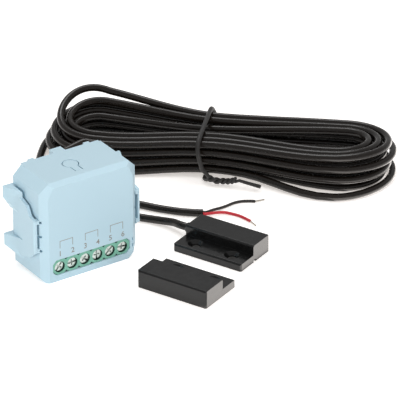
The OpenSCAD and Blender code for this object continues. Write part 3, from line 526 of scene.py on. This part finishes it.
strands, strandSockets = strandTree()
tipStrands = []
for name, end in tips["ends"].items():
    start = Vector(coreRoutes[name][-1])
    way = Vector(end) - start
    tip = newPiece(name + "Tip", bpy.data.meshes.new(name + "Tip"))
    twist = tip.modifiers.new("strands", "NODES")
    twist.node_group = strands
    sizes = {"Length": way.length * mm, "Strand Radius": tips["strandSize"] / 2 * mm,
             "Lay Radius": tips["strandSize"] * tips["laySpread"] * mm, "Turns": tips["layTurns"],
             "Strands": tips["strands"], "Material": tinnedCopper}
    for label, value in sizes.items():
        twist[strandSockets[label]] = value
    tip.location = start * mm
    tip.rotation_euler = way.to_track_quat("Z", "Y").to_euler()
    bpy.context.view_layer.update()
    tipStrands.append(asMesh(tip, name + "Strands"))
tipPiece = joinPieces(tipStrands, "bareTips")
tipPiece.data.shade_smooth()
seat(paint(tipPiece, tinnedCopper), rootBody, "tinned_copper", "core_tips")
print("cores and bare tips made")

# Tie: one wire round the waist, its two ends twisted together and standing off beside the hank.
# Places on the twist and the tail are along the hank from the tie, out from its side, and up.
# The wire is soft iron under a PVC skin, which makes it satin.
tie = {"diameter": 1.7, "roundSteps": 3, "gap": 0.35, "along": -3, "bends": (3, 3, 8, 5.5), "bendSteps": 8,
       "skipped": 2, "endUp": 6, "lean": 2.2, "leanFrom": 3, "leanTo": 15, "startShift": 2.4,
       "startShare": 0.2, "twist": [(2.4, -0.7, 2.9), (7.6, -1.2, 2.2), (12.2, -1.3, 3.4)],
       "twistSteps": 24, "twistTurns": 2.6, "twistWire": 0.7, "twistFirst": 0.85, "sway": 0.5,
       "swayTurns": 1.43, "tighten": 1.25,
       "tail": [(13.6, -1.4, 3.3), (16.8, -1.9, 2.8), (19.2, -2.4, 2.55), (21.6, -2.9, 2.3)],
       "tailSteps": 4, "tailWire": 0.85,
       "color": "#262423", "roughness": 0.5, "ior": 1.52, "grain": (0.6, 0.015)}
tieRadius = tie["diameter"] / 2
tieOff = cableRadius + tie["gap"] + tieRadius  # from the middle of the cable to the middle of the tie's wire
tieHalf = cable["loopStart"] - cable["waistIn"] + tieOff
tieTop = cableRadius + climbed(lastRing) * cable["layerStep"] + cable["lift"] + tieOff
tieCorners = ((-1, 0), (1, 0), (1, 1), (-1, 1))  # near and low, far and low, far and high, near and high
ring = []
for n, (side, high) in enumerate(tieCorners):
    bend = tie["bends"][n]
    centre = tieTop - bend if high else tieRadius + bend
    for i in range(tie["bendSteps"] + 1):
        a = math.radians(180 + 90 * (n + i / tie["bendSteps"]))
        ring.append((side * (tieHalf - bend) + bend * math.cos(a), centre + bend * math.sin(a)))
ring = ring[tie["skipped"]:] + [(-tieHalf, tie["endUp"])]


# The ring leans left towards its top, and starts further right, under the twist
def tieAlong(share, up):
    lean = tie["lean"] * ease((up - tie["leanFrom"]) / (tie["leanTo"] - tie["leanFrom"]))
    return tie["along"] - lean + tie["startShift"] * (1 - ease(share / tie["startShare"]))


def besideHank(places, steps):
    return smoothed([hankPlace(tie["along"] + along, -tieHalf + out, up) for along, out, up in places], steps)


def twistRoute(phase):
    core = besideHank(tie["twist"], tie["twistSteps"])
    axis = (core[-1] - core[0]).normalized()
    side = axis.cross(Vector((0, 0, 1))).normalized()
    rise = side.cross(axis)
    route = []
    for n, middle in enumerate(core):
        share = n / (len(core) - 1)
        turn = 2 * math.pi * tie["twistTurns"] * share ** tie["tighten"] + phase
        sway = tie["sway"] * math.sin(2 * math.pi * tie["swayTurns"] * share) * math.sin(math.pi * share)
        coil = side * math.cos(turn) + rise * math.sin(turn)
        route.append(middle + side * sway + coil * tieRadius * tie["twistWire"])
    return route


def tapered(count, first, last):
    return [between(first, last, n / (count - 1)) for n in range(count)]


ringRoute = [hankPlace(tieAlong(n / (len(ring) - 1), up), across, up) for n, (across, up) in enumerate(ring)]
mainTwist = twistRoute(math.pi / 2)
shortTwist = twistRoute(-math.pi / 2)
tailRoute = besideHank(tie["tail"], tie["tailSteps"])
mainWire = ringRoute + mainTwist + tailRoute
mainWidths = [1] * len(ringRoute) + tapered(len(mainTwist), tie["twistFirst"], tie["twistWire"])
mainWidths += tapered(len(tailRoute), tie["twistWire"], tie["tailWire"])
shortWire = [ringRoute[1], ringRoute[0]] + shortTwist
shortWidths = [1, 1] + tapered(len(shortTwist), tie["twistFirst"], tie["twistWire"])
wires = []
for name, route, widths in (("tieMain", mainWire, mainWidths), ("tieShort", shortWire, shortWidths)):
    wires.append(asMesh(tubeCurve(name, route, tieRadius, tie["roundSteps"], widths), name + "Mesh"))
tiePiece = joinPieces(wires, "hankTie")
tiePiece.data.shade_smooth()
seat(paint(tiePiece, newMaterial("tieWirePvc", tie)), rootBody, "tie_plastic", "hank_tie")
print("tie wound")

# Module housing: moulded ABS, with a fine spark-eroded grain that keeps it satin
shell = {"color": "#BFDAE6", "roughness": 0.44, "uneven": 0.06, "ior": 1.42, "grain": (0.18, 0.006),
         "edges": {"front_shell": 0.25, "rear_cover": 0.2, "button_flap": 0.15}}
paleBlueAbs = newMaterial("paleBlueAbs", shell)
for node, width in shell["edges"].items():
    softened(node, paleBlueAbs, width)

# Terminal insert: glass-filled polyamide, satin green, with painted shade down in its wells, where little
# light comes.
# The painted shade grows from one depth behind the front to the other.
terminals = {"color": "#78B6A0", "roughness": 0.41, "uneven": 0.07, "ior": 1.53, "grain": (0.25, 0.008),
             "paintedShadeColor": "#16332A", "shadeFrom": -9.05, "shadeTo": -8.6, "edge": 0.12}
greenPolyamide = newMaterial("greenPolyamide", terminals)
tree = greenPolyamide.node_tree
place = addNode(tree, "ShaderNodeTexCoord").outputs["Object"]
depth = addNode(tree, "ShaderNodeSeparateXYZ", inputs={"Vector": place}).outputs["Y"]
share = addNode(tree, "ShaderNodeMapRange", inputs={
    "Value": depth, "From Min": terminals["shadeFrom"] * mm, "From Max": terminals["shadeTo"] * mm})
# Painted shade: the green turns dark with depth inside the wells
shade = addNode(tree, "ShaderNodeValToRGB", inputs={"Fac": share.outputs["Result"]})
shade.color_ramp.elements[0].color = hexColor(terminals["color"])
shade.color_ramp.elements[1].color = hexColor(terminals["paintedShadeColor"])
tree.links.new(shade.outputs["Color"], shaderOf(greenPolyamide).inputs["Base Color"])
softened("terminal_block", greenPolyamide, terminals["edge"])

# Terminal screws: zinc-plated steel, a soft-bright metal with a faint grain from the plating
screws = {"color": "#D2DAD6", "roughness": 0.33, "uneven": 0.07, "metallic": 1.0, "grain": (0.3, 0.006),
          "edge": 0.08}
zincSteel = newMaterial("zincPlatedSteel", screws)
for pole in poles:
    softened(f"terminal_screw_{pole}", zincSteel, screws["edge"])
print("module dressed")

# Contact and magnet: glossy black ABS from a polished mould
blocks = {"color": "#101010", "roughness": 0.21, "uneven": 0.04, "ior": 1.46, "grain": (1.2, 0.004),
          "edge": 0.15}
glossAbs = newMaterial("glossBlackAbs", blocks)
for node in ("contact_case", "magnet_case", "contact_gland"):
    softened(node, glossAbs, blocks["edge"])
print("contact and magnet dressed")

# Print on the front, in thin matt ink: plain numbers over the terminals and brackets that pair them
marks = {"pitch": 5.08, "foot": 9.5, "size": 2.8, "bold": 0.03, "bracketFoot": 12.5, "bracketTop": 15.2,
         "line": 0.2, "face": -9.5, "proud": 0.006, "thick": 0.012,
         "color": "#8E8A84", "roughness": 0.6, "grain": (0.3, 0.002)}
markDepth = marks["face"] - marks["proud"]
middlePole = (poles[0] + poles[-1]) / 2


def poleAt(pole):
    return (pole - middlePole) * marks["pitch"]


def printedNumber(pole):
    name = f"mark{pole}"
    data = bpy.data.curves.new(name, "FONT")
    data.body = str(pole)
    data.size = marks["size"] * mm
    data.align_x = "CENTER"
    data.extrude = marks["thick"] / 2 * mm
    data.offset = marks["bold"] * mm
    piece = newPiece(name, data)
    piece.location = (poleAt(pole) * mm, markDepth * mm, marks["foot"] * mm)
    piece.rotation_euler = (math.pi / 2, 0, 0)
    bpy.context.view_layer.update()
    return asMesh(piece, name + "Mesh")


def printedBar(name, x0, x1, z0, z1):
    form = bmesh.new()
    bmesh.ops.create_cube(form, size=1)
    bmesh.ops.scale(form, vec=((x1 - x0) * mm, marks["thick"] * mm, (z1 - z0) * mm), verts=form.verts)
    middle = ((x0 + x1) / 2 * mm, markDepth * mm, (z0 + z1) / 2 * mm)
    bmesh.ops.translate(form, vec=middle, verts=form.verts)
    mesh = bpy.data.meshes.new(name)
    form.to_mesh(mesh)
    form.free()
    return newPiece(name, mesh)


inked = [printedNumber(pole) for pole in poles]
half = marks["line"] / 2
top = marks["bracketTop"]
for pole in poles[::2]:
    left, right = poleAt(pole), poleAt(pole + 1)
    inked.append(printedBar("bracketTop", left - half, right + half, top - half, top + half))
    for x in (left, right):
        inked.append(printedBar("bracketLeg", x - half, x + half, marks["bracketFoot"], top))
numbers = joinPieces(inked, "terminalNumbers")
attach(paint(numbers, newMaterial("greyPadPrintInk", marks)), rootBody)
print("numbers printed")

# Inside the housing and the cases: plain finishes, each named for what the real piece is made of
innerGrain = (0.4, 0.006)
inner = [
    ("tinnedBrassStrip", "#C9B27A", 0.3, 1.0, ["terminal_bars"]),
    ("zincPlatedStrip", "#B9B8B2", 0.34, 1.0, [f"clamp_cage_{pole}" for pole in poles]),
    ("greenSolderMask", "#1E5A38", 0.35, 0.0, ["main_board"]),
    ("relayPolyester", "#26282C", 0.4, 0.0, ["relay"]),
    ("ferriteAndTape", "#8A7A4A", 0.55, 0.0, ["supply_transformer"]),
    ("capacitorSleeve", "#262C44", 0.3, 0.0, ["smoothing_capacitors"]),
    ("fuseCap", "#4A3A2C", 0.4, 0.0, ["input_fuse"]),
    ("varistorEpoxy", "#1C4E96", 0.32, 0.0, ["surge_varistor"]),
    ("blueSolderMask", "#1B3468", 0.35, 0.0, ["radio_board"]),
    ("tinnedSheetSteel", "#BDBCB8", 0.36, 1.0, ["radio_shield"]),
    ("mouldedEpoxy", "#1A1A1B", 0.5, 0.0, ["surface_chips", "push_switch"]),
    ("clearLedResin", "#E4EAE2", 0.2, 0.0, ["status_led"]),
    ("whiteAcetal", "#DAD9D2", 0.4, 0.0, ["switch_plunger"]),
    ("satinBlackAbs", "#161616", 0.42, 0.0, ["contact_base", "magnet_base"]),
    ("nickelIronStrip", "#B4B2AB", 0.34, 1.0, ["reed_blades"]),
    ("ferriteMagnet", "#4B4B4D", 0.6, 0.0, ["bar_magnet"]),
]
for name, color, roughness, metallic, nodes in inner:
    look = {"color": color, "roughness": roughness, "metallic": metallic, "grain": innerGrain}
    material = newMaterial(name, look)
    for node in nodes:
        paint(frame["nodes"][node], material)

# Reed switch's tube: drawn glass with a green tint
reed = {"color": "#BFD9C6", "roughness": 0.05, "ior": 1.5, "clear": 0.85}
reedGlass = newMaterial("greenReedGlass", reed)
shaderOf(reedGlass).inputs["Transmission Weight"].default_value = reed["clear"]
paint(frame["nodes"]["reed_glass"], reedGlass)
print("inner pieces painted")
